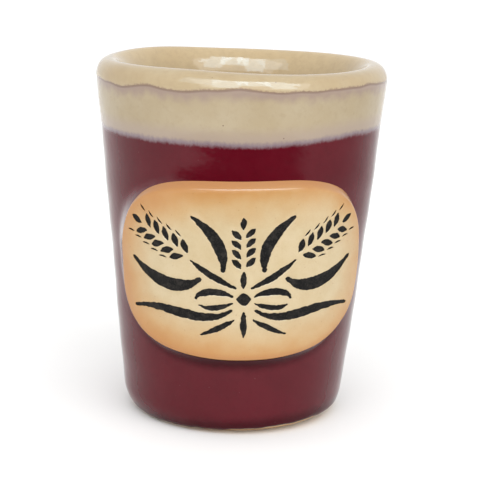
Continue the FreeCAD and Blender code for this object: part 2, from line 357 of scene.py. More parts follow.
def make_liner(material):
    """Cream glaze of the inside. It comes over the lip and ends in a soft, wavy bead."""
    run = OUTER.length_at_level(run_level(ANGLES))
    rows, below = [], []

    def add(profile, length, offset):
        rows.append(profile_row(profile, length, offset))
        below.append(np.clip(run - length, 0, INSIDE) if profile is OUTER else INSIDE + 0 * ANGLES)

    def throwing(length):
        return 0.05 * np.sin(2 * np.pi * length / 6.0 + ANGLES)

    floor_end = INNER.length[-1]
    for length in spaced(floor_end - 0.3, 5.0, 0.55):
        add(INNER, length, throwing(length) * min(1, (floor_end - length) / 6))
    for length in spaced(4.8, 0.1, 0.16):
        add(INNER, length, throwing(length) * length / 5)
    for share in np.linspace(0, 0.97, 34):
        add(OUTER, run * share, 0.10 * np.exp(-((1 - share) / 0.22) ** 2) + 0.05 * share)
    for turn in np.linspace(0.1, 1.0, 9) * math.pi / 2:
        add(OUTER, run * 0.97 + (run * 0.03 + 0.02) * math.sin(turn), -0.06 + 0.21 * math.cos(turn))
    for share in np.linspace(0.9, 0, 8):
        add(OUTER, run * share, -COAT)
    for length in spaced(1.0, floor_end - 0.3, 2.0):
        add(INNER, length, -COAT)
    mesh = turned_mesh("liner_mesh", rows, run_mm=below)
    return finish_piece("liner_coat", mesh, "liner_glaze", material)


def make_band(material):
    """Cream band under the lip. It thins out to meet the wine glaze in a soft edge."""
    run = OUTER.length_at_level(run_level(ANGLES))
    edge = OUTER.length_at_level(band_level(ANGLES))
    rows, from_run, from_edge = [], [], []

    def add(length, offset):
        rows.append(profile_row(OUTER, length, offset))
        from_run.append(length - run)
        from_edge.append(edge - length)

    start = run - 0.5
    for share in np.linspace(0, 1, 58):
        length = start + (edge - start) * share
        swell = 0.10 * (1 - np.exp((length - edge) / 1.1))
        add(length, swell - 0.09 * np.clip((run + 0.1 - length) / 0.5, 0, 1))
    for share in np.linspace(0.98, 0.02, 7):
        add(start + (edge - start) * share, -COAT)
    mesh = turned_mesh("band_mesh", rows, ring=True, run_mm=from_run, edge_mm=from_edge)
    return finish_piece("band_coat", mesh, "band_glaze", material)


# ---- the plaque's flat layout


def signed_power(value, power):
    """A power of a number's size, with the number's sign."""
    return np.sign(value) * np.abs(value) ** power


def outline_point(turn, inset=0.0):
    """Point of the oval's outline at a turn, moved inwards, with a little unevenness."""
    c, s = np.cos(turn), np.sin(turn)
    across = signed_power(c, 2 / PLAQUE_SQUARENESS) * PLAQUE_HALF_WIDTH
    up = signed_power(s, 2 / PLAQUE_SQUARENESS) * PLAQUE_HALF_HEIGHT
    steep = PLAQUE_SQUARENESS - 1
    normal_across = signed_power(across / PLAQUE_HALF_WIDTH, steep) / PLAQUE_HALF_WIDTH
    normal_up = signed_power(up / PLAQUE_HALF_HEIGHT, steep) / PLAQUE_HALF_HEIGHT
    size = np.hypot(normal_across, normal_up)
    hand = 0.10 * np.sin(3 * turn + 0.5) + 0.07 * np.sin(5 * turn + 2.0) + 0.03 * np.sin(11 * turn)
    upper_corners = np.clip(s, 0, 1) * np.sin(2 * turn) ** 2 * (0.85 + 0.16 * c)
    move = hand + upper_corners - inset
    return across + normal_across / size * move, up + normal_up / size * move


def noise_at(points, layer):
    """Smooth noise, from about -1 to 1, at points of a plane."""
    return np.array([noise.noise(Vector((x, y, layer))) for x, y in points])


def even_turns(count):
    """Turns that space the outline's points evenly along it."""
    fine = np.linspace(0, 2 * math.pi, 4001)
    across, up = outline_point(fine)
    length = np.r_[0, np.cumsum(np.hypot(np.diff(across), np.diff(up)))]
    return np.interp(np.linspace(0, length[-1], count, endpoint=False), length, fine)


def wall_place(across, up):
    """Angle round the cup and level of a point of the flat layout."""
    along = PLAQUE_SHIFT + across * math.cos(PLAQUE_TURN) - up * math.sin(PLAQUE_TURN)
    rise = across * math.sin(PLAQUE_TURN) + up * math.cos(PLAQUE_TURN)
    level = PLAQUE_MIDDLE + rise * math.cos(math.atan(FLARE))
    return along / wall_radius(level), level


def on_wall(across, up, offset):
    """XYZ of points of the flat layout, at an offset from the glazed wall."""
    across, up = np.asarray(across, float), np.asarray(up, float)
    angle, level = wall_place(across, up)
    return place(angle, wall_radius(level) + offset, level)


RIM_TURNS = even_turns(420)
RIM = np.stack(outline_point(RIM_TURNS), axis=1)


def nearest(points, loop):
    """Distance of each point from the nearest point of a loop."""
    return np.hypot(*(points[:, None] - loop[None]).transpose(2, 0, 1)).min(1)


def rim_distance(points):
    """Distance inwards from the oval's outline."""
    blocks = np.array_split(np.asarray(points, float), len(points) // 2000 + 1)
    return np.concatenate([nearest(block, RIM) for block in blocks])


def bevel_height(inset, below):
    """Height at a distance inwards from the outline: a slope that meets the face in a soft line.

    The slope is steeper below, where below goes from 0 to 1.
    """
    slope = -PLAQUE_BEVEL * (1 + BEVEL_STEEPER * below**2) * inset / PLAQUE_CREASE
    return -PLAQUE_CREASE * np.logaddexp(slope, -PLAQUE_FRONT / PLAQUE_CREASE)


def plaque_height(points, inset):
    """Height of the plaque's face over the glazed wall: a bevelled edge and a low dome."""
    points = np.asarray(points, float)
    edge = bevel_height(inset, np.clip(-points[:, 1] / PLAQUE_HALF_HEIGHT, 0, 1))
    across, up = np.abs(points / (PLAQUE_HALF_WIDTH, PLAQUE_HALF_HEIGHT)).T
    middle = np.clip(1 - across**PLAQUE_SQUARENESS - up**PLAQUE_SQUARENESS, 0, 1)
    lumps = noise_at(points / 7.0, 3.1) * 0.08
    return edge + (PLAQUE_DOME * middle + lumps) * (edge / PLAQUE_FRONT) ** 2


# ---- the pattern

# Three ears of barley tied with a bow. A stroke is a cubic curve: start, two pulls, end, then
# the greatest width. They are the same strokes as the frame's stain nodes have.
RIGHT_STROKES = {
    "stem_stain": [
        ((1.1, -2.6), (3.2, -1.5), (6.2, 0.2), (8.3, 2.1), 1.15),
        ((1.4, -8.0), (2.7, -9.0), (4.4, -10.0), (6.8, -10.9), 1.0),
    ],
    "leaf_stain": [
        ((6.6, -0.9), (9.4, -3.6), (13.8, -2.8), (19.4, 1.4), 2.3),
        ((3.2, 0.2), (2.7, 3.6), (4.2, 6.8), (8.2, 9.6), 1.9),
    ],
    "bow_stain": [
        ((1.6, -4.1), (3.4, -2.7), (7.2, -3.0), (7.4, -4.7), 1.25),
        ((7.0, -5.6), (5.8, -6.4), (3.4, -6.0), (1.6, -5.1), 0.95),
        ((1.7, -6.3), (6.2, -9.9), (11.4, -5.2), (19.2, -7.4), 1.7),
    ],
}
MIDDLE_STROKES = {
    "stem_stain": [
        ((0, -2.6), (0, -1.6), (0, -0.7), (0, 0.4), 1.0),
        ((0, -6.6), (0, -8.0), (0, -9.6), (0, -11.3), 1.0),
    ],
    "bow_stain": [((-1.15, -4.4), (-0.4, -4.4), (0.4, -4.4), (1.15, -4.4), 2.2)],
}
SIDE_EAR = {"root": (8.9, 2.9), "tip": (17.2, 7.4), "pairs": 5, "length": 2.45, "width": 1.12}
MIDDLE_EAR = {"root": (0, 0.9), "tip": (0, 7.5), "pairs": 4, "length": 2.1, "width": 1.0}
GRAIN_SPREAD = math.radians(42)
GRAIN_STEP_OUT = 0.42
GRAIN_STAGGER = 0.2
AWN_GAP = 0.38
AWN_LENGTH = 1.3
AWN_WIDTH = 0.34


def straight(start, step, width, bow=0.0):
    """A nearly straight stroke from a start, along a step, bent to one side."""
    side = np.array([-step[1], step[0]]) * bow
    places = [start, start + step * 0.35 + side, start + step * 0.7 + side, start + step]
    return tuple(tuple(p) for p in places) + (width,)


def ear_strokes(root, tip, pairs, length, width, awns):
    """An ear of barley: a grain at its tip and pairs of grains, each with its awn or without."""
    start = np.array(root, float)
    run = np.array(tip, float) - start
    ahead = run / np.hypot(*run)
    side = np.array([-ahead[1], ahead[0]])
    strokes = [straight(start + run, ahead * length, width)]
    for hand, stagger in ((1, 0), (-1, GRAIN_STAGGER)):
        lean = ahead * math.cos(GRAIN_SPREAD) + side * hand * math.sin(GRAIN_SPREAD)
        for pair in range(pairs):
            foot = start + run * ((pair + stagger) / pairs) + side * hand * GRAIN_STEP_OUT
            strokes.append(straight(foot, lean * length, width, -0.06 * hand))
            if awns:
                tip_point = foot + lean * (length + AWN_GAP) + ahead * 0.1
                flick = (lean * 0.55 + ahead * 0.65) * AWN_LENGTH
                strokes.append(straight(tip_point, flick, AWN_WIDTH, -0.08 * hand))
    return strokes


def mirrored(stroke):
    return tuple((-across, up) for across, up in stroke[:4]) + (stroke[4],)


def with_mirror(strokes):
    return strokes + [mirrored(stroke) for stroke in strokes]


PATTERN = {
    node: with_mirror(right) + MIDDLE_STROKES.get(node, []) for node, right in RIGHT_STROKES.items()
}
PATTERN["grain_stain"] = with_mirror(ear_strokes(**SIDE_EAR, awns=True)) + ear_strokes(
    **MIDDLE_EAR, awns=False
)


BRUSH_STEP = 0.17


def brush_loop(stroke, spread, seed):
    """Closed outline of a brush stroke, spread outwards; its edge wavers as a hand's does."""
    start, pull_out, pull_in, end, widest = stroke
    reach = math.dist(start, end)
    count = max(11, int(reach / BRUSH_STEP))
    t = (1 - np.cos(np.linspace(0, math.pi, count))) / 2
    fine = np.linspace(0, 1, 400)
    line = cubic(start, pull_out, pull_in, end, len(fine))
    middle = np.stack([np.interp(t, fine, line[:, i]) for i in (0, 1)], axis=1)
    ahead = np.stack([np.interp(t, fine, np.gradient(line[:, i])) for i in (0, 1)], axis=1)
    ahead /= np.hypot(*ahead.T)[:, None]
    side = np.stack([-ahead[:, 1], ahead[:, 0]], axis=1)
    swell = np.maximum(np.sin(math.pi * t), 0.25) ** 0.7
    tip = np.clip(np.minimum(t, 1 - t) * reach / (0.32 * widest), 0, 1)
    half = widest / 2 * swell * np.sqrt(1 - (1 - tip) ** 2 * 0.93)
    grown = np.maximum(half + spread, half * 0.3)
    ends = np.sign(t - 0.5) * np.abs(2 * t - 1) ** 12 * spread

    def half_width(hand):
        slow = noise_at([(x / 1.1, seed * 7.7) for x in t * reach], hand)
        quick = noise_at([(x / 0.33, seed * 3.1) for x in t * reach], hand + 4)
        waver = (slow * 0.13 + quick * 0.11) * min(1.0, widest)
        return np.maximum(grown + waver, grown * 0.35)[:, None]

    centre = middle + ahead * ends[:, None]
    left = centre + side * half_width(2.0)
    right = centre - side * half_width(9.0)
    return np.concatenate([left, right[::-1]])


def inside_loop(points, loop):
    """True for each point that lies inside a closed loop."""
    x, y = points[:, 0][:, None], points[:, 1][:, None]
    x0, y0 = loop.T
    x1, y1 = np.roll(loop, -1, axis=0).T
    crosses = (y0 > y) != (y1 > y)
    rise = np.where(y1 == y0, 1e-12, y1 - y0)
    return (crosses & (x < (x1 - x0) * (y - y0) / rise + x0)).sum(1) % 2 == 1


ROW_SPACING = 0.866  # of a row of triangles with equal sides, for a side of 1


def grid_points(low, high, step):
    """Staggered rows of points that fill a rectangle."""
    rows = np.arange(low[1], high[1], step * ROW_SPACING)
    out = []
    for number, up in enumerate(rows):
        across = np.arange(low[0] + step / 2 * (number % 2), high[0], step)
        out.append(np.stack([across, np.full_like(across, up)], axis=1))
    return np.concatenate(out)


def far_from(points, loops, gap):
    """True for each point that keeps a gap from every loop."""
    keep = np.ones(len(points), bool)
    for loop in loops:
        near = np.all((points > loop.min(0) - gap) & (points < loop.max(0) + gap), axis=1) & keep
        if near.any():
            keep[np.flatnonzero(near)[nearest(points[near], loop) < gap]] = False
    return keep


def fill_flat(loops, loose):
    """Triangles that fill the outermost loop and follow every loop, in the flat layout.

    Also gives each point's number among the given points, and the first loop's points in order.
    """
    points = np.concatenate([*loops, loose])
    edges, start = [], 0
    for loop in loops:
        count = len(loop)
        edges += [(start + i, start + (i + 1) % count) for i in range(count)]
        start += count
    flat, _, faces, origins, _, _ = delaunay_2d_cdt(
        [Vector(p) for p in points.tolist()], edges, [], 1, 1e-5
    )
    source = np.array([o[0] if o else -1 for o in origins])
    rim = {given: number for number, names in enumerate(origins) for given in names}
    return np.array([tuple(p) for p in flat]), faces, source, [rim[i] for i in range(len(loops[0]))]


def side_faces(upper, lower):
    """Faces between two closed loops of point numbers, without those of points that merged."""
    faces = []
    for step in range(len(upper)):
        a, b, c, d = upper[step - 1], upper[step], lower[step], lower[step - 1]
        if a != b and c != d:
            faces.append((a, b, c, d))
    return faces


GROOVE_DEPTH = 0.50
INK_SINK = 0.15
# Loops of a groove: how far each lies outside the stroke's edge, and its height over the face
GROOVE_LOOPS = ((0.10, 0.045), (0, -0.02), (-0.10, -GROOVE_DEPTH))


def all_strokes():
    """Each stroke of the pattern with its node, and a number that makes its edge its own."""
    seed = 0
    for node, strokes in PATTERN.items():
        for stroke in strokes:
            seed += 1
            yield node, stroke, seed


# Rings inside the plaque's outline, close together where the bevel turns into the face
RIM_INSETS = (
    0, 0.09, 0.18, 0.28, 0.36, 0.44, 0.56, 0.72, 0.88, 1.0, 1.1, 1.2, 1.32, 1.5, 1.85, 2.35,
)
RIMS = [np.stack(outline_point(RIM_TURNS, inset), axis=1) for inset in RIM_INSETS]


def oval_points(step):
    """Loose points that fill the oval inside the last of its rings."""
    half = (PLAQUE_HALF_WIDTH, PLAQUE_HALF_HEIGHT)
    loose = grid_points((-half[0], -half[1]), half, step)
    return loose[inside_loop(loose, RIMS[-1])]


def plaque_front():
    """The face in the flat layout: points, triangles, rim, insets, and the lift by the strokes."""
    grooves, lifts = [], [np.zeros(len(rim)) for rim in RIMS]
    for _, stroke, seed in all_strokes():
        for spread, lift in GROOVE_LOOPS:
            grooves.append(brush_loop(stroke, spread, seed))
            lifts.append(np.full(len(grooves[-1]), lift))
    loose = oval_points(0.5)
    loose = loose[rim_distance(loose) > RIM_INSETS[-1] + 0.3]
    loose = loose[far_from(loose, grooves, 0.16)]
    sunk = np.any([inside_loop(loose, edge) for edge in grooves[1::3]], axis=0)
    lifts.append(np.where(sunk, -GROOVE_DEPTH, 0.0))
    flat, faces, source, rim = fill_flat(RIMS + grooves, loose)
    lift = np.where(source < 0, 0.0, np.concatenate(lifts)[source])
    inset = rim_distance(flat)
    inset[rim] = 0.0
    return flat, faces, rim, inset, lift


def make_plaque(material):
    """The oval: a bevelled edge, a low dome, impressed strokes, and a back that fits the wall."""
    flat, faces, rim, inset, lift = plaque_front()
    front = on_wall(*flat.T, plaque_height(flat, inset) + lift)
    back_flat, back_faces, _, back_rim = fill_flat([RIMS[0]], oval_points(1.6))
    back = on_wall(*back_flat.T, SLIP - COAT)
    start, nothing = len(front), np.zeros(len(back))
    faces = list(faces) + [[start + i for i in face] for face in back_faces]
    faces += side_faces(rim, [start + i for i in back_rim])
    across, up = np.concatenate([flat, back_flat]).T
    mesh = new_mesh(
        "plaque_mesh",
        np.concatenate([front, back]),
        faces,
        rim_mm=np.r_[inset, nothing],
        across_mm=across,
        up_mm=up,
        dip_mm=np.r_[np.clip(-lift, 0, 1), nothing],
    )
    return finish_piece("oval_plaque", mesh, "plaque", material, sharp=30)


def make_stain(node, material):
    """Black stain that lies in the strokes of one node: a thin uneven solid in each groove."""
    points, faces, inside = [], [], []
    for owner, stroke, seed in all_strokes():
        if owner != node:
            continue
        edge = brush_loop(stroke, 0.02, seed)
        shoulder = brush_loop(stroke, -0.14, seed)
        loose = grid_points(edge.min(0), edge.max(0), 0.3)
        loose = loose[inside_loop(loose, shoulder)]
        loose = loose[far_from(loose, [shoulder, edge], 0.12)]
        flat, tris, source, rim = fill_flat([edge, shoulder], loose)
        at_edge = (source >= 0) & (source < len(edge))
        rough = noise_at(flat * 1.7, 5.0)
        sink = np.where(at_edge, -0.10, -INK_SINK - 0.04 + rough * 0.05)
        height = plaque_height(flat, rim_distance(flat))
        top = on_wall(*flat.T, height + sink)
        bottom = on_wall(*flat.T, height - GROOVE_DEPTH)
        start = sum(len(part) for part in points)
        under = start + len(top)
        faces += [tuple(start + i for i in tri) for tri in tris]
        faces += [tuple(under + i for i in reversed(tri)) for tri in tris]
        faces += side_faces([start + i for i in rim], [under + i for i in rim])
        points += [top, bottom]
        inside += [np.where(at_edge, 0.0, 1.0), np.zeros(len(bottom))]
    mesh = new_mesh(node + "_mesh", np.concatenate(points), faces, inside=np.concatenate(inside))
    return finish_piece("ink_" + node.split("_")[0], mesh, node, material, sharp=60)


def make_slip(material):
    """Thin coat of slip between the plaque and the cup."""
    across, up = outline_point(RIM_TURNS, 0.10)
    shares = (0.02, 0.2, 0.4, 0.6, 0.8, 0.93, 1.0)
    rows = [on_wall(across * share, up * share, SLIP - COAT - 0.01) for share in shares]
    rows += [on_wall(across * share, up * share, -COAT) for share in reversed(shares)]
    mesh = turned_mesh("slip_mesh", rows)
    return finish_piece("slip_joint", mesh, "luting_slip", material)


# ---- the wine glaze

# The glaze is a sheet of rings from the plaque's edge out to a border, on the unrolled wall.
TOP_STEPS, SEAM_STEPS, FOOT_STEPS = 260, 110, 220
NEAR_STEPS = (0.0, 0.07, 0.15, 0.25, 0.38, 0.55, 0.8, 1.1)
FAR_RINGS = 54
BACK_RINGS = (-1, 49, 34, 22, 13, 5)  # the rings that its inner side repeats
UNDERNEATH = 30.0  # what the field of distance from the plaque holds there, more than the reach of any mark near the plaque


def edge_length(edge, angle):
    """Length along the outer profile of one of the glaze's edges."""
    return OUTER.length_at_level(edge(angle))


def wine_border():
    """Border of the glaze, and the turn round the plaque that each of its points is joined to.

    It runs along the top, down the seam at the back, along the foot, and up the seam again.
    """
    top = np.linspace(-math.pi, math.pi, TOP_STEPS, endpoint=False)
    foot = np.linspace(math.pi, -math.pi, FOOT_STEPS, endpoint=False)
    lowest = OUTER.length_at_level(0.35) + 1.5
    high, low = (edge_length(edge, np.array([math.pi]))[0] for edge in (band_level, foot_level))
    seam = np.full(SEAM_STEPS, math.pi)
    sides = (
        (top, edge_length(band_level, top)),
        (seam, np.linspace(high, low, SEAM_STEPS, endpoint=False)),
        (foot, np.minimum(edge_length(foot_level, foot), lowest)),
        (-seam, np.linspace(low, high, SEAM_STEPS, endpoint=False)),
    )
    corners = np.array([150, 30, -30, -150, -210]) * math.pi / 180
    turns = [
        np.linspace(start, end, len(angles), endpoint=False)
        for start, end, (angles, _) in zip(corners, corners[1:], sides)
    ]
    return np.concatenate([np.stack(side, axis=1) for side in sides]), np.concatenate(turns)


def wine_rings(border, turns, lap):
    """Rings of (angle, length), and how far each of their points is from the plaque's edge."""
    away_mm = [-lap * share for share in (1.0, 0.8, 0.6, 0.4, 0.2)]
    away_mm += [away + 0 * lap for away in NEAR_STEPS]
    rings = []
    for away in away_mm:
        angle, level = wall_place(*outline_point(turns, -away))
        rings.append(np.stack([angle, OUTER.length_at_level(level)], axis=1))
    start = rings[-1]
    push = (start - rings[-3]) * 10
    for number in range(1, FAR_RINGS + 1):
        ease = (number / FAR_RINGS) ** 1.15
        ring = start * (1 - ease) + border * ease + push * ease * (1 - ease) ** 3
        gap = (ring - start) * (wall_radius(PLAQUE_MIDDLE), 1)
        rings.append(ring)
        away_mm.append(NEAR_STEPS[-1] + np.hypot(*gap.T))
    return rings, away_mm


def foot_roll(gap):
    """Height of the glaze's lower edge, at a gap from its end: a slight bead that thins out."""
    return 0.05 * np.exp(-(((gap - 0.8) / 0.6) ** 2)) - 0.16 * np.exp(-np.clip(gap, 0, 9) / 0.16)


def make_wine(material):
    """Burgundy glaze with a window round the plaque, where it climbs the plaque's side."""
    border, turns = wine_border()
    left = np.clip(np.cos(turns - math.radians(167)), 0, 1) ** 5
    below = np.clip(-np.sin(turns), 0, 1)
    lap = 0.06 + 1.2 * left + 0.14 * below
    reach = 0.35 + 2.2 * left + 1.1 * below**3
    climbs = np.clip(2 * left + 1.4 * below**3, 0, 1)
    climb_height = (bevel_height(lap, below) + 0.05) * climbs
    rings, away_mm = wine_rings(border, turns, lap)
    offsets = []
    for ring, away in zip(rings, away_mm):
        angle, length = ring.T
        share = np.clip((away + lap) / (lap + reach), 0, 1)
        roll = foot_roll(edge_length(foot_level, angle) - length)
        offsets.append(climb_height * (1 - share) ** 1.5 + roll)
    down = range(TOP_STEPS, TOP_STEPS + SEAM_STEPS)
    up = range(len(turns) - SEAM_STEPS, len(turns))
    seam = {(len(rings) - 1, step) for step in (*down, *up)}
    for number in BACK_RINGS:
        rings.append(rings[number])
        away_mm.append(np.full(len(turns), UNDERNEATH))
        offsets.append(-COAT)
    angles, lengths = np.array(rings).transpose(2, 0, 1)
    rows = []
    for angle, length, offset in zip(angles, lengths, offsets):
        radius, level = OUTER.at(length, offset)
        rows.append(place(angle, radius, level))
    mesh = turned_mesh(
        "wine_mesh",
        rows,
        ring=True,
        left_out=seam,
        edge_mm=edge_length(band_level, angles) - lengths,
        foot_mm=edge_length(foot_level, angles) - lengths,
        pool_mm=away_mm,
        under=[below**2] * len(rows),
        lapped=[left] * len(rows),
    )
    return finish_piece("wine_coat", mesh, "wine_glaze", material)


# ---- materials


STUDIO_LIGHT = 1.6  # how bright the studio makes a white wall that faces the camera


def tone(red, green, blue):
    """Surface colour that looks like an sRGB colour, from 0 to 255, in the studio's light."""
    values = []
    for channel in (red, green, blue):
        share = channel / 255
        bright = share / 12.92 if share <= 0.04045 else ((share + 0.055) / 1.055) ** 2.4
        values.append(bright / STUDIO_LIGHT)
    return (*values, 1.0)


class Paint:
    """Builds one material's nodes. Each method returns the socket that it makes."""

    def __init__(self, name):
        self.material = bpy.data.materials.new(name)
        self.material.use_nodes = True
        self.tree = self.material.node_tree
        self.shader = self.tree.nodes["Principled BSDF"]
        self.place = self.stretch(self.node("TexCoord", {})["Object"], (1 / MM,) * 3)

    def put(self, socket, value):
        if isinstance(value, bpy.types.NodeSocket):
            self.tree.links.new(value, socket)
        else:
            socket.default_value = value

    def node(self, kind, inputs, **settings):
        """The outputs of a new node, with its inputs given by name or number."""
        node = self.tree.nodes.new("ShaderNode" + kind)
        for setting, value in settings.items():
            setattr(node, setting, value)
        for key, value in inputs.items():
            self.put(node.inputs[key], value)
        return node.outputs

    def stretch(self, vector, scale):
        return self.node("VectorMath", {0: vector, 1: scale}, operation="MULTIPLY")[0]

    def noise(self, scale, detail=2.0, roughness=0.5, vector=None):
        where = {"Vector": vector or self.place}
        look = {"Scale": scale, "Detail": detail, "Roughness": roughness}
        return self.node("TexNoise", where | look)[0]

    def cells(self, scale):
        """Distance from the nearest of points strewn at random."""
        return self.node("TexVoronoi", {"Vector": self.place, "Scale": scale})["Distance"]

    def field(self, name):
        return self.node("Attribute", {}, attribute_name=name)["Fac"]

    def math(self, operation, a, b):
        return self.node("Math", {0: a, 1: b}, operation=operation)[0]

    def add(self, a, b):
        return self.math("ADD", a, b)

    def times(self, a, b):
        return self.math("MULTIPLY", a, b)

    def span(self, value, low, high, out_low=0.0, out_high=1.0):
        """A value's place between low and high, eased, as a number from out_low to out_high."""
        numbers = dict(enumerate((value, low, high, out_low, out_high)))
        return self.node("MapRange", numbers, interpolation_type="SMOOTHSTEP")[0]

    def uneven(self, scale, low, high):
        """A number that drifts between low and high over the surface."""
        return self.span(self.noise(scale, 3), 0.2, 0.8, low, high)

    def mix(self, share, a, b):
        """Colour a, with a share of colour b."""
        return self.node("Mix", {0: share, 6: a, 7: b}, data_type="RGBA")[2]

    def speckled(self, colour, scale, core, rim, share, speck):
        """A colour with round specks, solid up to the core radius and gone at the rim."""
        specks = self.span(self.cells(scale), core, rim, 1, 0)
        return self.mix(self.times(specks, share), colour, speck)

    def ripple(self, coarse, fine, share):
        """Relief of a coarse noise and a share of a fine one."""
        return self.add(self.noise(coarse, 2), self.times(self.noise(fine, 2), share))

    def bump(self, height, distance_mm, strength=1.0):
        inputs = {"Strength": strength, "Distance": distance_mm * MM, "Height": height}
        return self.node("Bump", inputs)[0]

    def finish(self, **inputs):
        for name, value in inputs.items():
            self.put(self.shader.inputs[name.replace("_", " ")], value)
        return self.material


def bare_clay():
    """Unglazed stoneware, with a gritty surface and dark specks."""
    p = Paint("bare_clay")
    colour = p.mix(p.noise(0.35, 4, 0.6), tone(240, 196, 144), tone(250, 212, 164))
    grain = p.noise(5.5, 3, 0.6)
    colour = p.mix(p.span(grain, 0.35, 0.7, 0, 0.55), colour, tone(228, 196, 164))
    colour = p.speckled(colour, 1.6, 0.10, 0.16, 0.55, tone(96, 70, 52))
    height = p.add(p.noise(9.0, 4, 0.65), p.times(p.noise(2.2, 2), 0.8))
    return p.finish(
        Base_Color=colour,
        Roughness=p.span(grain, 0.2, 0.8, 0.72, 0.95),
        Normal=p.bump(height, 0.05, 0.8),
    )


def fired_slip():
    p = Paint("fired_slip")
    colour = p.mix(p.noise(0.8, 4, 0.6), tone(176, 128, 88), tone(146, 98, 66))
    return p.finish(Base_Color=colour, Roughness=0.85, Normal=p.bump(p.noise(7, 3), 0.04))


def cream_glaze():
    """The liner: warm cream, lighter inside, and browner in a line at the end of its run, a line
    that is partly its own edge and partly painted shade of the crevice under its bead.
    """
    p = Paint("cream_glaze")
    run = p.field("run_mm")
    cloud = p.noise(0.11, 3, 0.55)
    colour = p.mix(p.span(cloud, 0.3, 0.7), tone(208, 183, 141), tone(216, 195, 157))
    inside = p.mix(cloud, tone(218, 191, 145), tone(230, 206, 164))
    colour = p.mix(p.span(run, 60, INSIDE), colour, inside)
    colour = p.mix(p.span(p.noise(0.8, 4, 0.6), 0.35, 0.75, 0, 0.35), colour, tone(196, 172, 134))
    # Browner line at the end of the run: partly the glaze's own edge, partly painted shade of the
    # crevice under the bead.
    ragged = p.add(run, p.uneven(2.2, -0.15, 0.15))
    colour = p.mix(p.span(ragged, 0.0, 0.35, 0.75, 0), colour, tone(160, 130, 112))
    colour = p.speckled(colour, 0.3, 0.02, 0.045, 0.6, tone(120, 84, 56))
    return p.finish(
        Base_Color=colour,
        Roughness=p.uneven(1.4, 0.02, 0.05),
        Specular_IOR_Level=0.5,
        Normal=p.bump(p.ripple(0.45, 2.6, 0.12), 0.10, 0.4),
    )


def outer_colour(p, wine, edge):
    """Colour of the band and of the wine glaze below it, by the height over their soft edge."""
    feather = p.noise(2.6, 4, 0.6)
    streaks = p.noise(1.3, 3, 0.55, vector=p.stretch(p.place, (1.0, 1.0, 0.45)))
    ragged = p.add(edge, p.span(feather, 0.2, 0.8, -0.10, 0.10))
    ragged = p.add(ragged, p.span(streaks, 0.25, 0.75, -0.12, 0.12))
    cloud = p.noise(0.16, 4, 0.6)
    cream = p.mix(p.span(cloud, 0.3, 0.7), tone(199, 179, 144), tone(206, 188, 156))
    cream = p.mix(p.span(p.noise(0.9, 5, 0.7), 0.45, 0.8, 0, 0.45), cream, tone(184, 163, 128))
    blush = p.mix(p.span(ragged, 0.9, 3.6), tone(196, 176, 157), cream)
    lilac = p.mix(p.span(ragged, 0.1, 1.0), tone(158, 139, 145), blush)
    return p.mix(p.span(ragged, -0.55, 0.3), wine, lilac)


def wine_colour(p):
    """Burgundy with a darker mottle."""
    colour = p.mix(p.span(p.noise(0.13, 3), 0.3, 0.7), tone(99, 12, 28), tone(106, 16, 32))
    mottle = p.span(p.noise(0.9, 5, 0.65), 0.45, 0.8, 0, 0.30)
    return p.mix(mottle, colour, tone(84, 10, 24))


def band_cream():
    """The band, with a halo below the end of the liner's run, and a dark line right under it that
    is partly a browner glaze line and partly painted shade of the crevice under the liner's bead.
    """
    p = Paint("band_cream")
    run = p.field("run_mm")
    colour = outer_colour(p, wine_colour(p), p.field("edge_mm"))
    halo = p.span(p.add(run, p.uneven(0.5, -0.5, 0.5)), 0.3, 2.3, 1, 0)
    colour = p.mix(halo, colour, tone(181, 158, 142))
    # Dark line just under the liner's bead: painted shade of the crevice there, over a browner
    # glaze line.
    colour = p.mix(p.span(run, 0.08, 0.36, 0.55, 0), colour, tone(138, 108, 92))
    colour = p.speckled(colour, 0.24, 0.02, 0.04, 0.7, tone(112, 78, 58))
    return p.finish(
        Base_Color=colour,
        Roughness=p.uneven(1.1, 0.10, 0.2),
        Specular_IOR_Level=0.4,
        Normal=p.bump(p.ripple(0.4, 2.3, 0.12), 0.08, 0.5),
    )


def wine_glaze():
    """Burgundy: thin where it laps the plaque, and darkened with painted shade below it and at the
    foot.
    """
    p = Paint("wine_glaze")
    lapped = p.field("lapped")
    pool = p.add(p.field("pool_mm"), p.uneven(1.1, -0.15, 0.15))
    thin = p.times(p.span(pool, 0.0, 0.35, 0.7, 0), lapped)
    # Painted shade under the plaque's lower edge: a darker colour here, and less gloss in the sum
    # below.
    painted_shade_below_plaque = p.times(p.span(pool, 0.5, 2.7, 0.8, 0), p.field("under"))
    wine = p.mix(thin, wine_colour(p), tone(120, 92, 98))
    wine = p.mix(painted_shade_below_plaque, wine, tone(58, 2, 13))
    colour = outer_colour(p, wine, p.field("edge_mm"))
    foot = p.add(p.field("foot_mm"), p.uneven(1.6, -0.12, 0.12))
    # Painted shade where the cup meets the floor: darker towards the foot, with less gloss there in
    # the specular below.
    colour = p.mix(p.span(foot, 1.0, 3.4, 0.55, 0), colour, tone(46, 0, 10))
    colour = p.mix(p.span(foot, 0.05, 0.4, 0.7, 0), colour, tone(126, 84, 74))
    colour = p.speckled(colour, 0.5, 0.02, 0.055, 0.5, tone(140, 92, 96))
    lap_gloss = p.times(p.span(pool, 0.0, 1.4, 0.95, 0), lapped)
    gloss = p.math("SUBTRACT", p.add(0.26, lap_gloss), p.times(painted_shade_below_plaque, 0.16))
    return p.finish(
        Base_Color=colour,
        Roughness=p.uneven(1.0, 0.07, 0.13),
        Specular_IOR_Level=p.times(p.span(foot, 0.6, 3.4, 0.4, 1), gloss),
        Normal=p.bump(p.ripple(0.35, 2.1, 0.10), 0.08, 0.5),
    )


